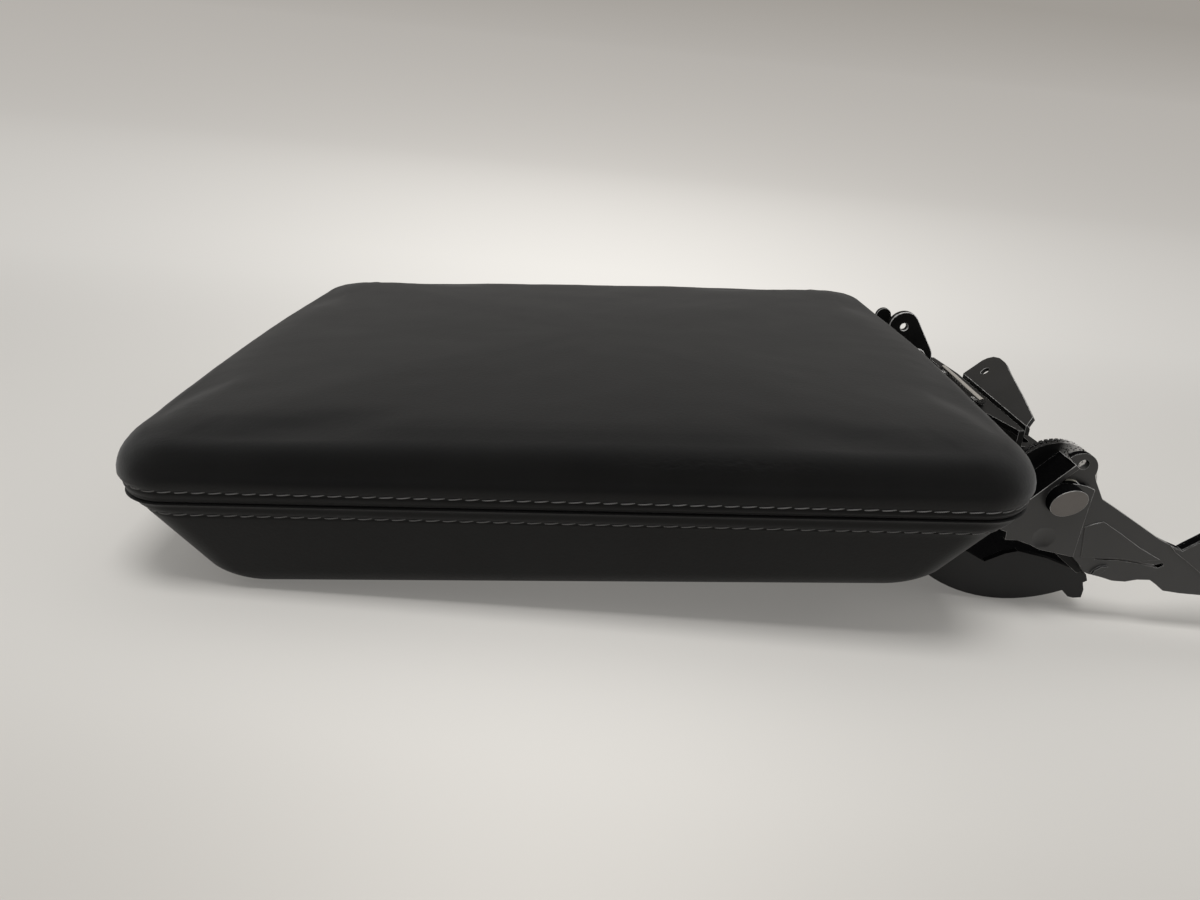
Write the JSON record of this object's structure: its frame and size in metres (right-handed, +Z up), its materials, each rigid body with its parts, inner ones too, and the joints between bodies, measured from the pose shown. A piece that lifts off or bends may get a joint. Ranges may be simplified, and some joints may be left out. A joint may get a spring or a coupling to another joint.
{
  "type": "car centre armrest",
  "caption": "Padded leather-covered armrest lid for a centre console, on a two-arm stamped steel hinge with friction drum and crescent shroud.",
  "frame": {"origin": "middle of the whole armrest's bounding box, lid and hinge together", "axes": "+X along the lid towards the hinge, +Y along the hinge axis away from the rivet-and-drum side, +Z up out of the padded top"},
  "size_m": [0.4339, 0.242, 0.084],
  "materials": {
    "leather": "smooth matt black leather",
    "foam": "moulded foam",
    "core_plastic": "moulded",
    "black_plastic": "satin",
    "black_steel": "black coated pressed steel",
    "rivet_steel": "burnished dark steel",
    "bright_steel": "drawn bright steel",
    "bush_plastic": "acetal"
  },
  "bodies": {
    "hinge_frame": {"arm_near": "black_steel", "arm_far": "black_steel", "bush_near": "bush_plastic", "bush_far": "bush_plastic", "friction_drum": "black_steel", "anchor_ear": "black_steel", "cross_plate": "black_steel", "flap": "black_steel", "flap_rivets": "rivet_steel", "rod": "bright_steel", "rod_clips": "black_steel"},
    "lid": {"cover_upper": "leather", "foam_pad": "foam", "core": "core_plastic", "joining_frame": "black_plastic", "cover_lower": "leather", "inner_panel": "core_plastic", "panel_screws": "bright_steel", "bracket_near": "black_steel", "bracket_far": "black_steel", "bracket_screws": "bright_steel", "pivot_near": "rivet_steel", "pivot_far": "rivet_steel", "friction_discs": "bright_steel", "shroud": "black_plastic", "shroud_screws": "bright_steel"}
  },
  "joints": [
    {"name": "lid_hinge", "type": "hinge", "parent": "hinge_frame", "child": "lid", "pos_m": [0.11295, 0, 0.00998], "axis": [0, -1, 0], "range_deg": [0, 75]}
  ]
}
